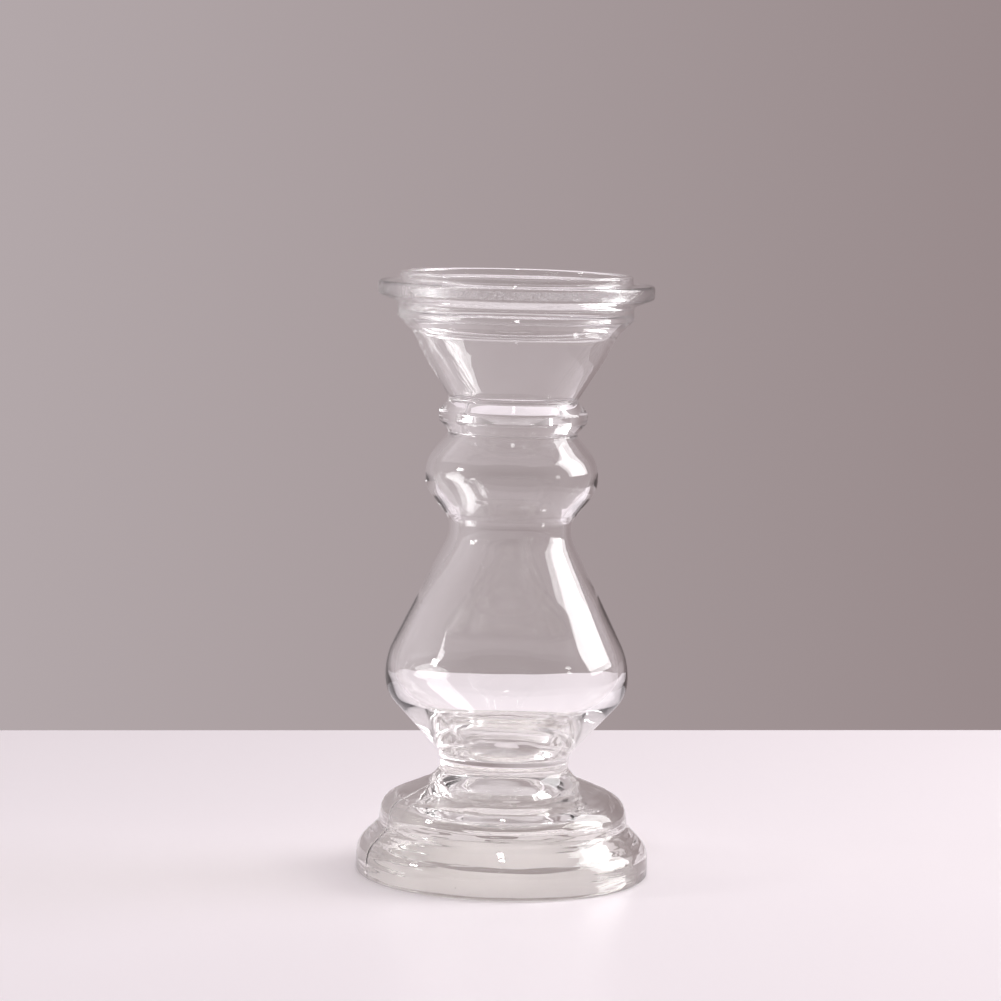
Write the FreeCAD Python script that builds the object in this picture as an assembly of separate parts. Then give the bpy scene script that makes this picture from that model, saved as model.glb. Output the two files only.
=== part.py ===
"""Glass candlestick for a pillar candle: a blown hollow body hot-joined to a pressed foot.

Millimetres, +Z up. The origin is the centre of the foot's bearing ring, on the table, and
both pieces are turned about Z. They meet face to face at the joint.

Every outline is a list of corners (radius, height, round). A rise is the height from one
corner to the next, so a longer stretch lifts what stands on it.
"""
import FreeCAD, Part
import math
import os

# ---- joint of the two pieces ----------------------------------------------------------------
waist_radius = 22.0

# ---- pressed foot, from the table up --------------------------------------------------------
foot_radius = 50.0
foot_draft = 0.1            # the lower tier's side leans in by this much at the table
lower_tier_rise = 9.8
step_rise = 7.6
step_width = 7.4            # radius lost from the lower tier to the foot of the upper one
upper_tier_draft = 1.0
upper_tier_rise = 8.2
flare_rise = 7.0
flare_end_width = 3.0       # of the flare's top beyond the waist
flare_end_rise = 3.8
foot_waist_rise = 1.6

foot_wall = 5.4
step_wall = 5.0
shoulder_wall = 5.2
bearing_width = 4.4         # ring that stands on the table
joint_web = 5.0             # solid glass between the joint and the ceiling of the hollow
ceiling_radius = 5.4
ceiling_ring_width = 2.4
ceiling_ring_drop = 1.0

bearing_round = 1.8
hollow_edge_round = 1.0
tier_round = 8.0
step_round = 3.5
shoulder_round = 7.0
flare_round = 12.0
foot_waist_round = 3.0
hollow_round = 4.0

# ---- candle cup -----------------------------------------------------------------------------
candle_radius = 35.0        # a 70 mm pillar candle
candle_clearance = 1.8      # between the candle and the wall of the cup
cup_depth = 13.4            # mouth to the ledge that the candle stands on
ledge_width = 4.2
ledge_thickness = 2.8
mouth_wall = 2.6
band_wall = 3.2
flange_width = 6.8          # beyond the band

# ---- blown body, from the joint face up ------------------------------------------------------
waist_rise = 3.6
belly_radius = 41.4
belly_cone_rise = 21.0
belly_rise = 11.8
shoulder_cone_rise = 41.7
neck_radius = 20.8
neck_rise = 5.6
bulb_cone_rise = 10.9
bulb_radius = 29.3
bulb_rise = 9.0
collar_cone_rise = 9.4
collar_radius = 22.0
collar_rise = 0.8
bead_width = 3.3            # beyond the collar
bead_flank_rise = 3.6
bead_crest_rise = 3.4
bowl_foot_rise = 1.0
bowl_lower_rise = 13.3
bowl_taper = 4.1            # radius gained over the upper part of the bowl
bowl_upper_rise = 8.3
bowl_flare = 5.4            # radius gained from the bowl's lip to the band
bowl_flare_rise = 5.4
band_rise = 4.6
flange_slope_rise = 2.8
flange_rise = 4.6
mouth_rise = 3.2            # ring that stands on the flange

floor_rise = 4.2            # joint face to the bottom of the hollow
floor_radius = 14.0         # where the hollow's cone would meet its bottom, but for the round
belly_lower_wall = 3.2
belly_wall = 2.9
cone_wall = 1.8             # where the shoulder cone is thinnest
cone_wall_share = 0.5       # of the cone's rise below that place
neck_wall = 3.0
bulb_lower_wall = 2.4
bulb_wall = 2.1
throat_wall = 2.5
bowl_wall = 2.7

waist_round = 6.0
belly_lower_round = 13.0
belly_upper_round = 25.0
cone_round = 40.0
neck_lower_round = 20.0
neck_upper_round = 5.0
bulb_lower_round = 9.0
bulb_upper_round = 12.0
collar_round = 1.2
bead_round = 2.0
bowl_round = 24.0
lip_round = 8.0
band_round = 1.2
flange_round = 1.3
mouth_round = 1.0
ledge_round = 0.8
ledge_under_round = 2.5
floor_round = 12.0

shortest_edge = 1e-4


def rounded(corners):
    """Edges through the corners: straight stretches joined by tangent arcs.

    A round takes at most half of a stretch that it shares with another round, and at most
    all of one that it has to itself. A round of zero leaves the corner sharp.
    """
    points = [FreeCAD.Vector(radius, 0, height) for radius, height, _ in corners]
    edges = []
    here = points[0]
    for i in range(1, len(corners) - 1):
        back = points[i - 1] - points[i]
        ahead = points[i + 1] - points[i]
        back_share = back.Length / 2 if corners[i - 1][2] else back.Length
        ahead_share = ahead.Length / 2 if corners[i + 1][2] else ahead.Length
        half_turn = (math.pi - back.getAngle(ahead)) / 2
        reach = min(corners[i][2] * math.tan(half_turn), back_share, ahead_share)
        if reach < shortest_edge:
            edges.append(Part.LineSegment(here, points[i]).toShape())
            here = points[i]
            continue
        back.normalize()
        ahead.normalize()
        inwards = (back + ahead).normalize()
        middle = points[i] + inwards * (reach * math.tan(half_turn / 2))
        start = points[i] + back * reach
        end = points[i] + ahead * reach
        if here.distanceToPoint(start) > shortest_edge:
            edges.append(Part.LineSegment(here, start).toShape())
        edges.append(Part.Arc(start, middle, end).toShape())
        here = end
    if here.distanceToPoint(points[-1]) > shortest_edge:
        edges.append(Part.LineSegment(here, points[-1]).toShape())
    return edges


def turned(corners):
    """The solid that an outline from the axis to the axis makes in one turn about it."""
    edges = rounded(corners)
    top = edges[-1].lastVertex().Point
    bottom = edges[0].firstVertex().Point
    closing = Part.LineSegment(top, bottom).toShape()
    face = Part.Face(Part.Wire(edges + [closing]))
    return face.revolve(FreeCAD.Vector(0, 0, 0), FreeCAD.Vector(0, 0, 1), 360)


def stacked(radii, rises, rounds):
    """Corners with these radii and rounds, each one rise above the corner before it."""
    height = 0.0
    corners = [(radii[0], height, rounds[0])]
    for radius, rise, corner_round in zip(radii[1:], rises, rounds[1:]):
        height += rise
        corners.append((radius, height, corner_round))
    return corners


def inset(corners, i, wall, inner_round):
    """Corner i moved into the glass, so that both stretches beside it are a wall away."""
    point, back, ahead = (
        FreeCAD.Vector(corners[j][0], 0, corners[j][1]) for j in (i, i - 1, i + 1)
    )
    along = (point - back).normalize()
    onwards = (ahead - point).normalize()
    # The outside runs upwards, so its glass lies on the side towards the axis.
    inwards = FreeCAD.Vector(-along.z - onwards.z, 0, along.x + onwards.x).normalize()
    half_turn = along.getAngle(onwards) / 2
    moved = point + inwards * (wall / math.cos(half_turn))
    return (moved.x, moved.z, inner_round)


def pressed_foot():
    """Two-tier foot, open underneath, with a short waist; and the height of its joint face."""
    upper_tier_radius = foot_radius - step_width
    outside = stacked(
        [foot_radius - foot_draft, foot_radius, upper_tier_radius,
         upper_tier_radius - upper_tier_draft, waist_radius + flare_end_width,
         waist_radius, waist_radius],
        [lower_tier_rise, step_rise, upper_tier_rise, flare_rise,
         flare_end_rise, foot_waist_rise],
        [bearing_round, tier_round, step_round, shoulder_round, flare_round,
         foot_waist_round, 0],
    )
    joint_height = outside[-1][1]
    ceiling = joint_height - joint_web
    ring_radius = ceiling_radius + ceiling_ring_width
    hollow = [
        (0, ceiling, 0),
        (ceiling_radius, ceiling, 0),
        (ring_radius, ceiling - ceiling_ring_drop, hollow_edge_round),
        inset(outside, 3, shoulder_wall, hollow_round),
        inset(outside, 2, step_wall, hollow_round),
        inset(outside, 1, foot_wall, hollow_round),
        (foot_radius - bearing_width, 0, hollow_edge_round),
    ]
    return turned(hollow + outside + [(0, joint_height, 0)]), joint_height


def blown_body(joint_height):
    """Pear, bulb, beaded collar, flared bowl and flanged cup round one open hollow."""
    bore_radius = candle_radius + candle_clearance
    band_radius = bore_radius + band_wall
    flange_radius = band_radius + flange_width
    lip_radius = band_radius - bowl_flare
    bead_radius = collar_radius + bead_width
    mouth_radius = bore_radius + mouth_wall
    outside = stacked(
        [waist_radius, waist_radius, belly_radius, belly_radius,
         neck_radius, neck_radius, bulb_radius, bulb_radius,
         collar_radius, collar_radius, bead_radius, bead_radius,
         collar_radius, collar_radius, lip_radius - bowl_taper, lip_radius,
         band_radius, band_radius, flange_radius, flange_radius,
         mouth_radius, mouth_radius],
        [waist_rise, belly_cone_rise, belly_rise,
         shoulder_cone_rise, neck_rise, bulb_cone_rise, bulb_rise,
         collar_cone_rise, collar_rise, bead_flank_rise, bead_crest_rise,
         bead_flank_rise, bowl_foot_rise, bowl_lower_rise, bowl_upper_rise,
         bowl_flare_rise, band_rise, flange_slope_rise, flange_rise,
         0, mouth_rise],
        [0, waist_round, belly_lower_round, belly_upper_round,
         neck_lower_round, neck_upper_round, bulb_lower_round, bulb_upper_round,
         collar_round, collar_round, bead_round, bead_round,
         collar_round, collar_round, bowl_round, lip_round,
         band_round, band_round, flange_round, flange_round,
         mouth_round, mouth_round],
    )
    belly, neck = outside[3], outside[4]
    cone = (
        belly[0] + (neck[0] - belly[0]) * cone_wall_share,
        belly[1] + (neck[1] - belly[1]) * cone_wall_share,
    )
    mouth_height = outside[-1][1]
    ledge_height = mouth_height - cup_depth
    ledge_radius = bore_radius - ledge_width
    cup = [
        (bore_radius, mouth_height, mouth_round),
        (bore_radius, ledge_height, ledge_round),
        (ledge_radius, ledge_height, ledge_round),
        (ledge_radius, ledge_height - ledge_thickness, ledge_under_round),
    ]
    hollow = [
        inset(outside, 14, bowl_wall, bowl_round),
        inset(outside, 13, throat_wall, collar_round),
        inset(outside, 8, throat_wall, collar_round),
        inset(outside, 7, bulb_wall, bulb_upper_round),
        inset(outside, 6, bulb_lower_wall, bulb_lower_round),
        inset(outside, 5, neck_wall, neck_upper_round),
        inset(outside, 4, neck_wall, neck_lower_round),
        inset([belly, cone, neck], 1, cone_wall, cone_round),
        inset(outside, 3, belly_wall, belly_upper_round - belly_wall),
        inset(outside, 2, belly_lower_wall, belly_lower_round),
        (floor_radius, floor_rise, floor_round),
        (0, floor_rise, 0),
    ]
    body = turned([(0, 0, 0)] + outside + cup + hollow)
    body.translate(FreeCAD.Vector(0, 0, joint_height))
    return body


foot, joint_height = pressed_foot()
body = blown_body(joint_height)

os.makedirs("parts", exist_ok=True)
foot.exportStep("parts/pressed_foot.step")
body.exportStep("parts/blown_body.step")
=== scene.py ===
"""Looks of the glass candlestick: clear blown body on a clear pressed foot.

Metres, in the frame of the CAD part: +Z up, the origin at the centre of the foot's bearing
ring, and both pieces turned about Z. Outlines are in millimetres.
"""
import math

import bpy
from mathutils import Matrix, Vector


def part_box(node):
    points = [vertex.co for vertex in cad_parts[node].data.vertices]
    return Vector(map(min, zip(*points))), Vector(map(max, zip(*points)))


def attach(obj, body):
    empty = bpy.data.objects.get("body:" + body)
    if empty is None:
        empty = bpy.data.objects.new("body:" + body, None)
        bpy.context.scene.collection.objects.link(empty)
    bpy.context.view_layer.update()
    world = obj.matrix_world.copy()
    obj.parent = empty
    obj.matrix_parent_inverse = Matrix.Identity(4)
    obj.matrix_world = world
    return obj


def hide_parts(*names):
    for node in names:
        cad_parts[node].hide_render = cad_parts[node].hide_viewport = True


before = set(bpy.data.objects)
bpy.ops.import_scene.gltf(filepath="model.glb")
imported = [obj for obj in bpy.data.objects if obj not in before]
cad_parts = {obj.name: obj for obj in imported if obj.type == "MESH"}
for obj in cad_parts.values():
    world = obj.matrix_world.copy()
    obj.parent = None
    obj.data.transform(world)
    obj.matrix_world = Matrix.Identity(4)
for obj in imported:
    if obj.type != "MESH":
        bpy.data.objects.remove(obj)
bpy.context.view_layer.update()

MM = 0.001


# ---------------------------------------------------------------------------------------------
# Small helpers
# ---------------------------------------------------------------------------------------------

def linear(code):
    """sRGB hex colour to linear RGBA."""
    values = [int(code[i:i + 2], 16) / 255 for i in (1, 3, 5)]
    return (*[v / 12.92 if v <= 0.04045 else ((v + 0.055) / 1.055) ** 2.4 for v in values], 1)


def in_scene(name, data):
    """A new object with this data, linked into the scene."""
    made = bpy.data.objects.new(name, data)
    bpy.context.collection.objects.link(made)
    return made


def node(tree, kind, settings=None, **links):
    """Adds a node. Settings go to its properties or, by name or number, to its inputs.

    Links name an input by its name, with underscores for spaces, or by _ and its number. They
    give a socket, or a node for its first output.
    """
    made = tree.nodes.new(kind)
    for name, value in (settings or {}).items():
        if isinstance(name, str) and hasattr(made, name):
            setattr(made, name, value)
        else:
            made.inputs[name].default_value = value
    for name, source in links.items():
        key = int(name[1:]) if name[0] == "_" else name.replace("_", " ")
        socket = source.outputs[0] if isinstance(source, bpy.types.Node) else source
        tree.links.new(socket, made.inputs[key])
    return made


def from_axis(tree, here):
    """The level part of a place, which points away from the axis, and its length."""
    level = node(tree, "ShaderNodeVectorMath", {"operation": "MULTIPLY", 1: (1, 1, 0)}, _0=here)
    length = node(tree, "ShaderNodeVectorMath", {"operation": "LENGTH"}, _0=level)
    return level, length.outputs["Value"]


# ---------------------------------------------------------------------------------------------
# Outlines
# ---------------------------------------------------------------------------------------------

ARC_STEP = math.radians(6.5)    # the most that a step along a round turns
LONGEST_STEP = 2.8              # in mm, along an outline
SHORTEST_STRETCH = 1e-6         # in mm; a shorter one is left out
SMALLEST_REACH = 1e-4           # in mm; a round that reaches less along its sides is left sharp


def rounded(corners):
    """Points (radius, height) in mm along an outline of corners (radius, height, round)."""
    points = [Vector(corner[:2]) for corner in corners]
    line = [points[0]]

    def go_to(point):
        start = line[-1]
        gap = point - start
        if gap.length > SHORTEST_STRETCH:
            steps = math.ceil(gap.length / LONGEST_STEP)
            line.extend([start + gap * (i / steps) for i in range(1, steps + 1)])

    for i in range(1, len(points) - 1):
        back, ahead = points[i - 1] - points[i], points[i + 1] - points[i]
        back_share = back.length / 2 if corners[i - 1][2] else back.length
        ahead_share = ahead.length / 2 if corners[i + 1][2] else ahead.length
        half_turn = (math.pi - back.angle(ahead)) / 2
        reach = min(corners[i][2] * math.tan(half_turn), back_share, ahead_share)
        if reach < SMALLEST_REACH:
            go_to(points[i])
            continue
        radius = reach / math.tan(half_turn)
        inwards = (back.normalized() + ahead.normalized()).normalized()
        centre = points[i] + inwards * (radius / math.cos(half_turn))
        start = points[i] + back.normalized() * reach
        end = points[i] + ahead.normalized() * reach
        go_to(start)
        arc_length = radius * half_turn * 2
        steps = max(2, math.ceil(half_turn * 2 / ARC_STEP), math.ceil(arc_length / LONGEST_STEP))
        first = start - centre
        sweep = first.angle_signed(end - centre)
        for j in range(1, steps + 1):
            line.append(centre + Matrix.Rotation(-sweep * j / steps, 2) @ first)
    go_to(points[-1])
    return line


def outline_object(name, line):
    """The outline as an edge mesh in metres, in the XZ plane, for the lathe to turn."""
    mesh = bpy.data.meshes.new(name)
    points = [(r * MM, 0, z * MM) for r, z in line]
    mesh.from_pydata(points, [(i, i + 1) for i in range(len(points) - 1)], [])
    return in_scene(name, mesh)


# ---------------------------------------------------------------------------------------------
# The lathe: Geometry Nodes that turn an outline about Z
# ---------------------------------------------------------------------------------------------

TRUE_MARGIN = 3 * MM            # the surface is worked less and less, this near the joint or table
MERGE_GAP = 1e-6                # closes the turn and the poles
JOINT_FACE_GAP = 0.01 * MM      # a face nearer to the joint's height is the joint face
SHARP_BEND = math.radians(30)   # edges that bend more look crisp
OUTWARD = 0.3                   # a normal that points this much from the axis is wholly outside
BUBBLE_FREEDOM = 0.99           # keeps bubbles outside, and clear of the joint and the table

LATHE_INPUTS = (
    ("Geometry", ("Geometry",)),
    ("Int", ("Steps Around", "Seed")),
    ("Float", ("Joint Height", "Wave Depth", "Wave Length", "Wave Squash")),
    ("Float", ("Pebble Depth", "Pebble Size", "Pebble Height", "Pebble Radius")),
    ("Float", ("Seam Depth", "Seam Width", "Seam Angle")),
    ("Float", ("Bubble Density", "Bubble Size", "Bubble Cover")),
    ("Material", ("Glass", "Joint")),
)


def turned_outline(tree, given):
    """A grid, one column per step and one row per outline point, rolled up about Z."""
    size = node(tree, "GeometryNodeAttributeDomainSize", Geometry=given["Geometry"])
    rows = size.outputs["Point Count"]
    columns = node(tree, "ShaderNodeMath", {"operation": "ADD", 1: 1}, _0=given["Steps Around"])
    grid = node(tree, "GeometryNodeMeshGrid", Vertices_X=columns, Vertices_Y=rows)
    index = node(tree, "GeometryNodeInputIndex")
    row = node(tree, "ShaderNodeMath", {"operation": "MODULO"}, _0=index, _1=rows)
    passed = node(tree, "ShaderNodeMath", {"operation": "DIVIDE"}, _0=index, _1=rows)
    column = node(tree, "ShaderNodeMath", {"operation": "FLOOR"}, _0=passed)
    place = node(
        tree, "GeometryNodeSampleIndex", {"data_type": "FLOAT_VECTOR"},
        Geometry=given["Geometry"], Index=row, Value=node(tree, "GeometryNodeInputPosition"),
    )
    turn = node(
        tree, "ShaderNodeMath", {"operation": "DIVIDE"}, _0=column, _1=given["Steps Around"]
    )
    angle = node(tree, "ShaderNodeMath", {"operation": "MULTIPLY", 1: 2 * math.pi}, _0=turn)
    turned = node(
        tree, "ShaderNodeVectorRotate", {"rotation_type": "Z_AXIS"},
        Vector=place.outputs["Value"], Angle=angle,
    )
    shaped = node(
        tree, "GeometryNodeSetPosition", Geometry=grid.outputs["Mesh"], Position=turned
    )
    return node(tree, "GeometryNodeMergeByDistance", {"Distance": MERGE_GAP}, Geometry=shaped)


def soft_waves(tree, given, here):
    """Long soft waves all over, closer together up and down where they are squashed."""
    squash = node(tree, "ShaderNodeCombineXYZ", {"X": 1, "Y": 1}, Z=given["Wave Squash"])
    squashed = node(tree, "ShaderNodeVectorMath", {"operation": "MULTIPLY"}, _0=here, _1=squash)
    scale = node(tree, "ShaderNodeMath", {"operation": "DIVIDE", 0: 1}, _1=given["Wave Length"])
    noise = node(
        tree, "ShaderNodeTexNoise", {"noise_dimensions": "4D", "Detail": 1.0},
        Vector=squashed, W=given["Seed"], Scale=scale,
    )
    wave = node(tree, "ShaderNodeMath", {"operation": "SUBTRACT", 1: 0.5}, _0=noise)
    return node(tree, "ShaderNodeMath", {"operation": "MULTIPLY"}, _0=wave, _1=given["Wave Depth"])


def pebbles(tree, given, here, height, radius):
    """Pebbles where the glass chilled against the mould, over a height and outside a radius."""
    scale = node(tree, "ShaderNodeMath", {"operation": "DIVIDE", 0: 1}, _1=given["Pebble Size"])
    cells = node(
        tree, "ShaderNodeTexVoronoi", {"feature": "SMOOTH_F1", "Smoothness": 0.6},
        Vector=here, Scale=scale,
    )
    pebble = node(
        tree, "ShaderNodeMath", {"operation": "SUBTRACT", 0: 0.5}, _1=cells.outputs["Distance"]
    )
    high = node(
        tree, "ShaderNodeMath", {"operation": "GREATER_THAN"}, _0=height,
        _1=given["Pebble Height"],
    )
    wide = node(
        tree, "ShaderNodeMath", {"operation": "GREATER_THAN"}, _0=radius,
        _1=given["Pebble Radius"],
    )
    for factor in (high, wide, given["Pebble Depth"]):
        pebble = node(tree, "ShaderNodeMath", {"operation": "MULTIPLY"}, _0=pebble, _1=factor)
    return pebble


def seams(tree, given, here, outside):
    """A thin ridge on two opposite sides, on the outside only, where the mould's halves met."""
    unturned = node(
        tree, "ShaderNodeVectorRotate", {"rotation_type": "Z_AXIS", "invert": True},
        Vector=here, Angle=given["Seam Angle"],
    )
    beside = node(
        tree, "ShaderNodeMath", {"operation": "ABSOLUTE"},
        _0=node(tree, "ShaderNodeSeparateXYZ", _0=unturned).outputs["Y"],
    )
    ridge = node(
        tree, "ShaderNodeMapRange", {"To Min": 1, "To Max": 0}, Value=beside,
        From_Max=given["Seam Width"],
    )
    for factor in (outside, given["Seam Depth"]):
        ridge = node(tree, "ShaderNodeMath", {"operation": "MULTIPLY"}, _0=ridge, _1=factor)
    return ridge


def bubbles(tree, given, worked, outside, freedom):
    """Small bubbles in the wall, under its outside, whose faces look into the bubble."""
    free_outside = node(
        tree, "ShaderNodeMath", {"operation": "MULTIPLY"}, _0=outside, _1=freedom
    )
    spots = node(
        tree, "GeometryNodeDistributePointsOnFaces", Mesh=worked, Seed=given["Seed"],
        Density=given["Bubble Density"],
        Selection=node(
            tree, "ShaderNodeMath", {"operation": "GREATER_THAN", 1: BUBBLE_FREEDOM},
            _0=free_outside,
        ),
    )
    under = node(
        tree, "ShaderNodeMath", {"operation": "MULTIPLY", 1: -1}, _0=given["Bubble Cover"]
    )
    inward = node(
        tree, "ShaderNodeVectorMath", {"operation": "SCALE"}, _0=spots.outputs["Normal"],
        Scale=under,
    )
    sunk = node(tree, "GeometryNodeSetPosition", Geometry=spots.outputs["Points"], Offset=inward)
    ball = node(
        tree, "GeometryNodeMeshIcoSphere", {"Subdivisions": 2}, Radius=given["Bubble Size"]
    )
    # Inputs 2 and 3 are the smallest and the largest bubble, as shares of the given size.
    spread = node(
        tree, "FunctionNodeRandomValue", {"data_type": "FLOAT", 2: 0.45, 3: 1.0},
        Seed=given["Seed"],
    )
    placed = node(
        tree, "GeometryNodeInstanceOnPoints", Points=sunk, Instance=ball,
        Scale=spread.outputs[1],
    )
    real = node(tree, "GeometryNodeRealizeInstances", Geometry=placed)
    hollow = node(tree, "GeometryNodeFlipFaces", Mesh=real)
    smooth = node(tree, "GeometryNodeSetShadeSmooth", _0=hollow)
    return node(tree, "GeometryNodeSetMaterial", Geometry=smooth, Material=given["Glass"])


def lathe_tree():
    """Turns the outline it is given, and works its surface as the mould and the fire left it."""
    tree = bpy.data.node_groups.new("turned_glass", "GeometryNodeTree")
    for kind, names in LATHE_INPUTS:
        for name in names:
            tree.interface.new_socket(name, in_out="INPUT", socket_type="NodeSocket" + kind)
    tree.interface.new_socket("Geometry", in_out="OUTPUT", socket_type="NodeSocketGeometry")
    given = node(tree, "NodeGroupInput").outputs

    here = node(tree, "GeometryNodeInputPosition")
    height = node(tree, "ShaderNodeSeparateXYZ", _0=here).outputs["Z"]
    level, radius = from_axis(tree, here)
    over_joint = node(
        tree, "ShaderNodeMath", {"operation": "SUBTRACT"}, _0=height, _1=given["Joint Height"]
    )
    to_joint = node(tree, "ShaderNodeMath", {"operation": "ABSOLUTE"}, _0=over_joint)
    at_joint = node(
        tree, "GeometryNodeCaptureAttribute", {"domain": "FACE"},
        Geometry=turned_outline(tree, given),
    )
    at_joint.capture_items.new("FLOAT", "From Joint")
    tree.links.new(to_joint.outputs[0], at_joint.inputs["From Joint"])

    # Freedom is 0 at the joint and the table, which have to stay true, and 1 away from them.
    nearer = node(tree, "ShaderNodeMath", {"operation": "MINIMUM"}, _0=to_joint, _1=height)
    freedom = node(tree, "ShaderNodeMapRange", {"From Max": TRUE_MARGIN}, Value=nearer)

    facing = node(tree, "GeometryNodeInputNormal")
    outward = node(
        tree, "ShaderNodeVectorMath", {"operation": "DOT_PRODUCT"}, _0=facing,
        _1=node(tree, "ShaderNodeVectorMath", {"operation": "NORMALIZE"}, _0=level),
    ).outputs["Value"]
    outside = node(tree, "ShaderNodeMapRange", {"From Max": OUTWARD}, Value=outward)

    depth = soft_waves(tree, given, here)
    for detail in (
        pebbles(tree, given, here, height, radius), seams(tree, given, here, outside),
    ):
        depth = node(tree, "ShaderNodeMath", {"operation": "ADD"}, _0=depth, _1=detail)
    depth = node(tree, "ShaderNodeMath", {"operation": "MULTIPLY"}, _0=depth, _1=freedom)
    out = node(tree, "ShaderNodeVectorMath", {"operation": "SCALE"}, _0=facing, Scale=depth)
    worked = node(tree, "GeometryNodeSetPosition", Geometry=at_joint, Offset=out)

    bend = node(tree, "GeometryNodeInputMeshEdgeAngle")
    sharp = node(
        tree, "ShaderNodeMath", {"operation": "GREATER_THAN", 1: SHARP_BEND}, _0=bend
    )
    smooth = node(tree, "GeometryNodeSetShadeSmooth", _0=worked)
    crisp = node(
        tree, "GeometryNodeSetShadeSmooth", {"domain": "EDGE", "Shade Smooth": False},
        _0=smooth, Selection=sharp,
    )
    glazed = node(tree, "GeometryNodeSetMaterial", Geometry=crisp, Material=given["Glass"])
    fused = node(
        tree, "GeometryNodeSetMaterial", Geometry=glazed, Material=given["Joint"],
        Selection=node(
            tree, "ShaderNodeMath", {"operation": "LESS_THAN", 1: JOINT_FACE_GAP},
            _0=at_joint.outputs["From Joint"],
        ),
    )
    joined = node(tree, "GeometryNodeJoinGeometry")
    for part in (bubbles(tree, given, worked, outside, freedom), fused):
        tree.links.new(part.outputs[0], joined.inputs[0])
    node(tree, "NodeGroupOutput", _0=joined)
    return tree


def turned_piece(name, line, tree, **sizes):
    """The outline turned by the lathe, as a plain mesh. Sizes are the lathe's inputs."""
    outline = outline_object(name + "_outline", line)
    lathe = outline.modifiers.new("lathe", "NODES")
    lathe.node_group = tree
    sockets = {s.name: s.identifier for s in tree.interface.items_tree if s.in_out == "INPUT"}
    for key, value in sizes.items():
        lathe[sockets[key.replace("_", " ")]] = value
    graph = bpy.context.evaluated_depsgraph_get()
    mesh = bpy.data.meshes.new_from_object(outline.evaluated_get(graph))
    mesh.name = name
    bpy.data.objects.remove(outline)
    return in_scene(name, mesh)


# ---------------------------------------------------------------------------------------------
# Outlines of the two pieces, in mm. The body's heights are above the joint face.
# ---------------------------------------------------------------------------------------------

JOINT_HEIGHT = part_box("pressed_foot")[1][2]
PRESS_MARK_RADIUS = 5.4         # in mm
PRESS_MARK_HEIGHT = 33.0        # in mm

foot_outline = [
    (0, PRESS_MARK_HEIGHT, 0), (PRESS_MARK_RADIUS, PRESS_MARK_HEIGHT, 0),
    (7.8, 32.0, 1.0),                                           # ring round the press mark
    (36.8, 22.0, 4.0), (37.8, 15.1, 4.0),                       # hollow of the upper tier
    (44.6, 7.6, 4.0), (45.6, 0, 1.0),                           # hollow of the lower tier
    (49.9, 0, 1.8), (50.0, 9.8, 8.0),                           # lower tier
    (42.6, 17.4, 3.5), (41.6, 25.6, 7.0),                       # upper tier
    (25.0, 32.6, 12.0),                                         # flare
    (22.0, 36.4, 3.0), (22.0, 38.0, 0), (0, 38.0, 0),           # waist and joint face
]
body_outline = [
    (0, 0, 0), (22.0, 0, 0), (22.0, 3.6, 6),                    # joint face and waist
    (41.4, 24.6, 13), (41.4, 36.4, 25),                         # pear
    (20.8, 78.1, 20), (20.8, 83.7, 5),                          # neck
    (29.3, 94.6, 9), (29.3, 103.6, 12),                         # bulb
    (22.0, 113.0, 1.2), (22.0, 113.8, 1.2),                     # collar
    (25.3, 117.4, 2), (25.3, 120.8, 2),                         # bead
    (22.0, 124.4, 1.2), (22.0, 125.4, 1.2),                     # foot of the bowl
    (30.5, 138.7, 24), (34.6, 147.0, 8),                        # bowl and its lip
    (40.0, 152.4, 1.2), (40.0, 157.0, 1.2),                     # band
    (46.8, 159.8, 1.3), (46.8, 164.4, 1.3),                     # flange
    (39.4, 164.4, 1.0), (39.4, 167.6, 1.0),                     # mouth ring
    (36.8, 167.6, 1.0), (36.8, 154.2, 0.8),                     # bore of the cup
    (32.6, 154.2, 0.8), (32.6, 151.4, 2.5),                     # ledge
    (28.1, 140.0, 24),                                          # inside of the bowl
    (19.5, 126.1, 1.2), (19.5, 112.1, 1.2),                     # throat
    (27.2, 102.9, 12), (26.9, 95.4, 9),                         # inside of the bulb
    (17.8, 84.7, 5), (17.8, 77.4, 20),                          # inside of the neck
    (29.5, 56.5, 40),                                           # thinnest wall of the pear
    (38.5, 35.7, 22), (38.2, 25.9, 13),                         # inside of the pear
    (14.0, 4.2, 12), (0, 4.2, 0),                               # floor
]


# ---------------------------------------------------------------------------------------------
# Glass
# ---------------------------------------------------------------------------------------------

GLASS_IOR = 1.52

PRESS_MARK_CORE = 0.86          # of the mark's radius; from there it fades to its edge
PRESS_MARK_ROUGHNESS = 0.22
PRESS_GRAIN = 0.9 * MM
PRESS_GRAIN_DEPTH = 0.35 * MM
STREAK_LENGTH = 42 * MM
STREAK_SQUASH = 11              # times closer together up and down than along
STREAK_DEPTH = 0.42 * MM

CHILLED_RADIUS = 44.4 * MM
CHILLED_HEIGHT = JOINT_HEIGHT + 156.5 * MM
CHILL_FADE = 1.5 * MM
CHILL_GRAIN = 0.9 * MM
CHILL_GRAIN_DEPTH = 0.13 * MM


def empty_material(name):
    """A new material with an empty node tree, and the tree."""
    material = bpy.data.materials.new(name)
    material.use_nodes = True
    material.node_tree.nodes.clear()
    return material, material.node_tree


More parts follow.
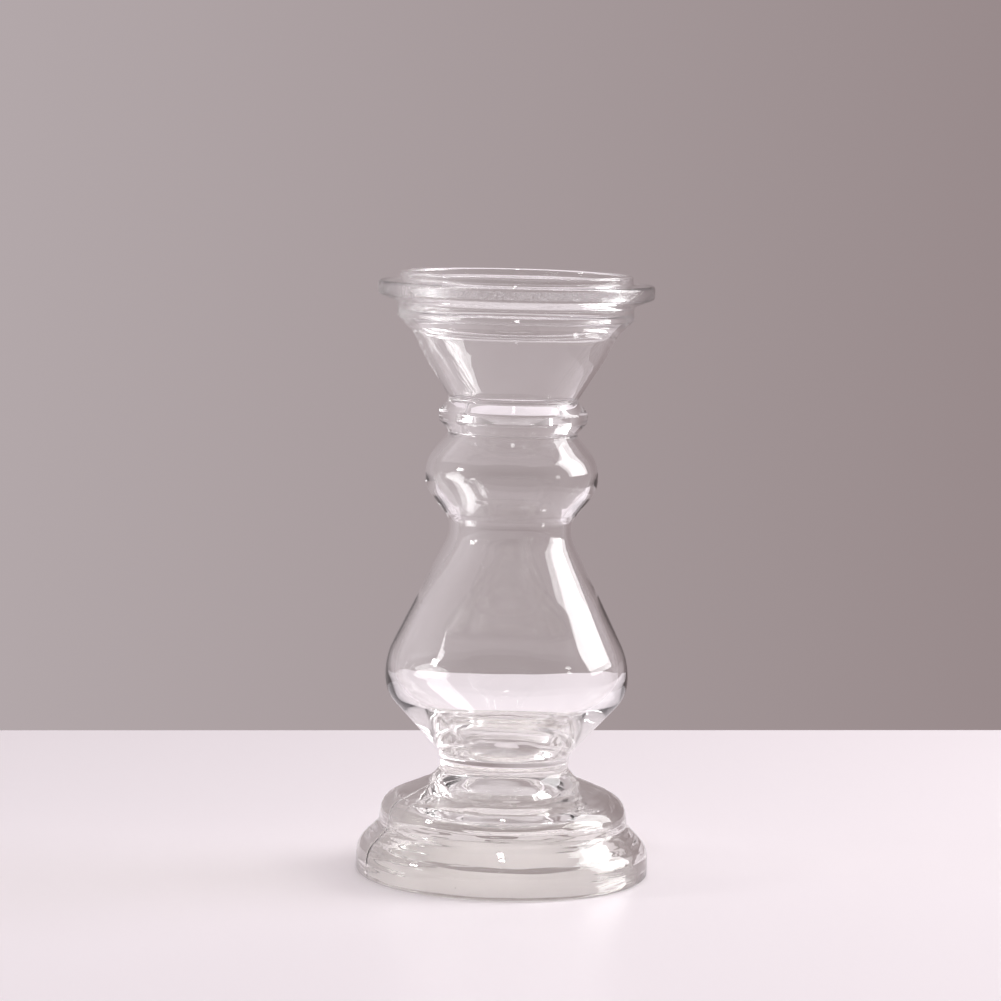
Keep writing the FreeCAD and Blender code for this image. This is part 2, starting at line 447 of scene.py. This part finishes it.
def pressed_skin(tree, glass):
    """The plunger's rough round mark about the axis, and level streaks all over.

    The streaks are where the glass folded as it filled the mould.
    """
    here = node(tree, "ShaderNodeTexCoord").outputs["Object"]
    from_mark = node(
        tree, "ShaderNodeVectorMath",
        {"operation": "SUBTRACT", 1: (0, 0, PRESS_MARK_HEIGHT * MM)}, _0=here,
    )
    away = node(tree, "ShaderNodeVectorMath", {"operation": "LENGTH"}, _0=from_mark)
    mark_edge = PRESS_MARK_RADIUS * MM
    marked = node(
        tree, "ShaderNodeMapRange",
        {"From Min": mark_edge * PRESS_MARK_CORE, "From Max": mark_edge, "To Min": 1, "To Max": 0},
        Value=away.outputs["Value"],
    )
    grain = node(
        tree, "ShaderNodeTexNoise", {"Scale": 1 / PRESS_GRAIN, "Detail": 3}, Vector=here
    )
    flattened = node(
        tree, "ShaderNodeVectorMath", {"operation": "MULTIPLY", 1: (1, 1, STREAK_SQUASH)},
        _0=here,
    )
    folds = node(
        tree, "ShaderNodeTexNoise", {"Scale": 1 / STREAK_LENGTH, "Detail": 2}, Vector=flattened
    )
    streaks = node(tree, "ShaderNodeBump", {"Distance": STREAK_DEPTH}, Height=folds)
    rough = node(
        tree, "ShaderNodeBump", {"Distance": PRESS_GRAIN_DEPTH}, Strength=marked, Height=grain,
        Normal=streaks,
    )
    dulled = node(
        tree, "ShaderNodeMath", {"operation": "MULTIPLY", 1: PRESS_MARK_ROUGHNESS}, _0=marked
    )
    tree.links.new(rough.outputs[0], glass.inputs["Normal"])
    tree.links.new(dulled.outputs[0], glass.inputs["Roughness"])


def chilled_skin(tree, glass):
    """A pebbled skin round the flange, which froze against the cold mould."""
    here = node(tree, "ShaderNodeTexCoord").outputs["Object"]
    _, radius = from_axis(tree, here)
    height = node(tree, "ShaderNodeSeparateXYZ", _0=here).outputs["Z"]
    outer, upper = (
        node(
            tree, "ShaderNodeMapRange", {"From Min": start, "From Max": start + CHILL_FADE},
            Value=measure,
        )
        for start, measure in ((CHILLED_RADIUS, radius), (CHILLED_HEIGHT, height))
    )
    chilled = node(tree, "ShaderNodeMath", {"operation": "MULTIPLY"}, _0=outer, _1=upper)
    grain = node(
        tree, "ShaderNodeTexNoise", {"Scale": 1 / CHILL_GRAIN, "Detail": 2}, Vector=here
    )
    skin = node(
        tree, "ShaderNodeBump", {"Distance": CHILL_GRAIN_DEPTH}, Strength=chilled, Height=grain
    )
    tree.links.new(skin.outputs[0], glass.inputs["Normal"])


def clear_glass(name, tint, shade, skin):
    """Soda-lime glass, fire-polished: see-through, all but colourless, with sharp reflections.

    The skin is a function that adds what the mould left on it. Lamps shine through the glass,
    and the shade is what is left of their light.
    """
    material, tree = empty_material(name)
    glass = node(
        tree, "ShaderNodeBsdfPrincipled",
        {"Base Color": linear(tint), "Roughness": 0.0, "IOR": GLASS_IOR,
         "Transmission Weight": 1.0},
    )
    skin(tree, glass)
    lit = node(tree, "ShaderNodeBsdfTransparent", {"Color": linear(shade)})
    ray = node(tree, "ShaderNodeLightPath")
    mixed = node(
        tree, "ShaderNodeMixShader", Fac=ray.outputs["Is Shadow Ray"], _1=glass, _2=lit
    )
    node(tree, "ShaderNodeOutputMaterial", Surface=mixed)
    return material


def fused_joint():
    """Where the two hot pieces became one glass there is nothing for light to meet."""
    material, tree = empty_material("fused_glass_joint")
    through = node(tree, "ShaderNodeBsdfTransparent", {"Color": (1, 1, 1, 1)})
    node(tree, "ShaderNodeOutputMaterial", Surface=through)
    return material


# ---------------------------------------------------------------------------------------------
# The two pieces
# ---------------------------------------------------------------------------------------------

blown_glass = clear_glass("blown_soda_lime_glass", "#FFFFFF", "#F0F0ED", chilled_skin)
pressed_glass = clear_glass("pressed_soda_lime_glass", "#FAFAF8", "#7F7D78", pressed_skin)
joint_glass = fused_joint()

lathe = lathe_tree()
both = {
    "Joint_Height": JOINT_HEIGHT, "Pebble_Size": 1.9 * MM, "Pebble_Radius": 45.0 * MM,
    "Seam_Width": 0.5 * MM, "Seam_Angle": math.radians(204), "Joint": joint_glass,
}
foot = turned_piece(
    "pressed_foot_glass", rounded(foot_outline), lathe, Steps_Around=540, Seed=4,
    Wave_Depth=0.3 * MM, Wave_Length=24 * MM, Wave_Squash=3.0,
    Pebble_Depth=0.0, Seam_Depth=0.16 * MM,
    Bubble_Density=900.0, Bubble_Size=0.3 * MM, Bubble_Cover=1.6 * MM,
    Glass=pressed_glass, **both,
)
raised_outline = [(r, h + JOINT_HEIGHT / MM, edge) for r, h, edge in body_outline]
body = turned_piece(
    "blown_body_glass", rounded(raised_outline), lathe, Steps_Around=240, Seed=9,
    Wave_Depth=0.2 * MM, Wave_Length=28 * MM, Wave_Squash=1.0,
    Pebble_Depth=0.12 * MM, Pebble_Height=JOINT_HEIGHT + 158.2 * MM, Seam_Depth=0.0,
    Bubble_Density=240.0, Bubble_Size=0.25 * MM, Bubble_Cover=1.1 * MM,
    Glass=blown_glass, **both,
)
for piece, cad_node in ((foot, "pressed_foot"), (body, "blown_body")):
    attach(piece, "root")
    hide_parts(cad_node)


# ---------------------------------------------------------------------------------------------
# Table
# ---------------------------------------------------------------------------------------------

TABLE_SIDE = 0.583
TABLE_TURN = math.radians(9.1)


def painted_table():
    """Smooth white paint with a slight sheen, so the glass has a soft reflection."""
    material = bpy.data.materials.new("painted_table")
    material.use_nodes = True
    shader = material.node_tree.nodes["Principled BSDF"]
    shader.inputs["Base Color"].default_value = linear("#F6EEF3")
    shader.inputs["Roughness"].default_value = 0.35
    return material


def table_top():
    """A square top, centred under the foot."""
    half = TABLE_SIDE / 2
    corners = [(-half, -half, 0), (half, -half, 0), (half, half, 0), (-half, half, 0)]
    turn = Matrix.Rotation(TABLE_TURN, 3, "Z")
    mesh = bpy.data.meshes.new("table")
    mesh.from_pydata([turn @ Vector(corner) for corner in corners], [], [(0, 1, 2, 3)])
    mesh.materials.append(painted_table())
    return in_scene("table", mesh)


table = table_top()


# ---------------------------------------------------------------------------------------------
# Studio round the table
# ---------------------------------------------------------------------------------------------

WALL_LEFT = "#B3A8AA"
WALL_RIGHT = "#988A8B"
PALE_ROOM = "#DDD3D6"
DIM_ROOM = "#7E7674"
FILL_COLOUR = "#F7F0F2"
FILL_STRENGTH = 0.49
WALL_HALF_WIDTH = 0.14          # the direction's X at which the wall has its right colour

# Each part of the room: the axis of the direction, where it starts and is full, its colour.
ROOM_PARTS = (
    ("Y", 0.9, 0.2, PALE_ROOM),         # the sides of the room, off the wall
    ("Y", -0.2, -0.8, DIM_ROOM),        # the room behind the camera
    ("Z", 0.35, 0.7, PALE_ROOM),        # overhead
)


def studio():
    """A room coloured by direction where it is seen, and an even fill where it lights.

    It is seen straight, through glass and in a reflection, but not by way of a matt surface.
    """
    world = bpy.data.worlds.new("studio")
    world.use_nodes = True
    tree = world.node_tree
    tree.nodes.clear()
    ray = node(tree, "ShaderNodeLightPath").outputs
    seen = ray["Is Camera Ray"]
    for way in ("Is Transmission Ray", "Is Glossy Ray"):
        seen = node(tree, "ShaderNodeMath", {"operation": "MAXIMUM"}, _0=seen, _1=ray[way])
    fresh = node(
        tree, "ShaderNodeMath", {"operation": "LESS_THAN", 1: 0.5}, _0=ray["Diffuse Depth"]
    )
    seen = node(tree, "ShaderNodeMath", {"operation": "MULTIPLY"}, _0=seen, _1=fresh)

    towards = node(
        tree, "ShaderNodeSeparateXYZ", _0=node(tree, "ShaderNodeTexCoord").outputs["Generated"]
    ).outputs
    across = node(
        tree, "ShaderNodeMapRange", {"From Min": -WALL_HALF_WIDTH, "From Max": WALL_HALF_WIDTH},
        Value=towards["X"],
    )
    colour = node(
        tree, "ShaderNodeMix", {"data_type": "RGBA", 6: linear(WALL_LEFT), 7: linear(WALL_RIGHT)},
        _0=across,
    )
    for axis, start, full, paint in ROOM_PARTS:
        share = node(
            tree, "ShaderNodeMapRange", {"From Min": start, "From Max": full},
            Value=towards[axis],
        )
        colour = node(
            tree, "ShaderNodeMix", {"data_type": "RGBA", 7: linear(paint)}, _0=share,
            _6=colour.outputs[2],
        )
    room = node(tree, "ShaderNodeBackground", {"Strength": 1.0}, Color=colour.outputs[2])
    fill = node(
        tree, "ShaderNodeBackground", {"Color": linear(FILL_COLOUR), "Strength": FILL_STRENGTH}
    )
    mixed = node(tree, "ShaderNodeMixShader", Fac=seen, _1=fill, _2=room)
    node(tree, "ShaderNodeOutputWorld", Surface=mixed)
    return world


def lamp(name, place, aim, size, power):
    """A white rectangular lamp. Place, aim and size are in metres, the power is in watts."""
    data = bpy.data.lights.new(name, "AREA")
    data.shape = "RECTANGLE"
    data.size, data.size_y = size
    data.energy = power
    made = in_scene(name, data)
    made.location = place
    made.rotation_euler = (Vector(aim) - Vector(place)).to_track_quat("-Z", "Y").to_euler()


scene = bpy.context.scene
scene.world = studio()
lamp("right_softbox", (1.0, 0.25, 0.62), (0, 0, 0.12), (0.72, 0.9), 12)
lamp("left_window", (-0.97, -0.24, 0.46), (0, 0, 0.12), (0.13, 0.14), 1.8)
lamp("top_light", (0.0, -0.3, 1.4), (0, 0, 0.1), (0.07, 0.07), 4)


# ---------------------------------------------------------------------------------------------
# Camera
# ---------------------------------------------------------------------------------------------

CAMERA_PLACE = (-0.0036, -1.24, 0.2558)
CAMERA_DIP = math.radians(5.878)
CAMERA_ROLL = math.radians(1.5)
CAMERA_SENSOR = 36              # in mm
CAMERA_LENS = 131.9             # in mm


def studio_camera():
    """In front of the candlestick and a little above its mouth, dipped and rolled."""
    data = bpy.data.cameras.new("camera")
    data.sensor_width = CAMERA_SENSOR
    data.lens = CAMERA_LENS
    made = in_scene("camera", data)
    made.location = CAMERA_PLACE
    level_view = Matrix.Rotation(math.pi / 2 - CAMERA_DIP, 3, "X")
    made.rotation_euler = (level_view @ Matrix.Rotation(CAMERA_ROLL, 3, "Z")).to_euler()
    return made


GLASS_BOUNCES = 32              # light crosses many walls of glass before it gets out
GLOSSY_BOUNCES = 16

scene.camera = studio_camera()
scene.view_settings.view_transform = "Standard"
scene.cycles.max_bounces = GLASS_BOUNCES
scene.cycles.transmission_bounces = GLASS_BOUNCES
scene.cycles.glossy_bounces = GLOSSY_BOUNCES
scene.cycles.transparent_max_bounces = GLASS_BOUNCES
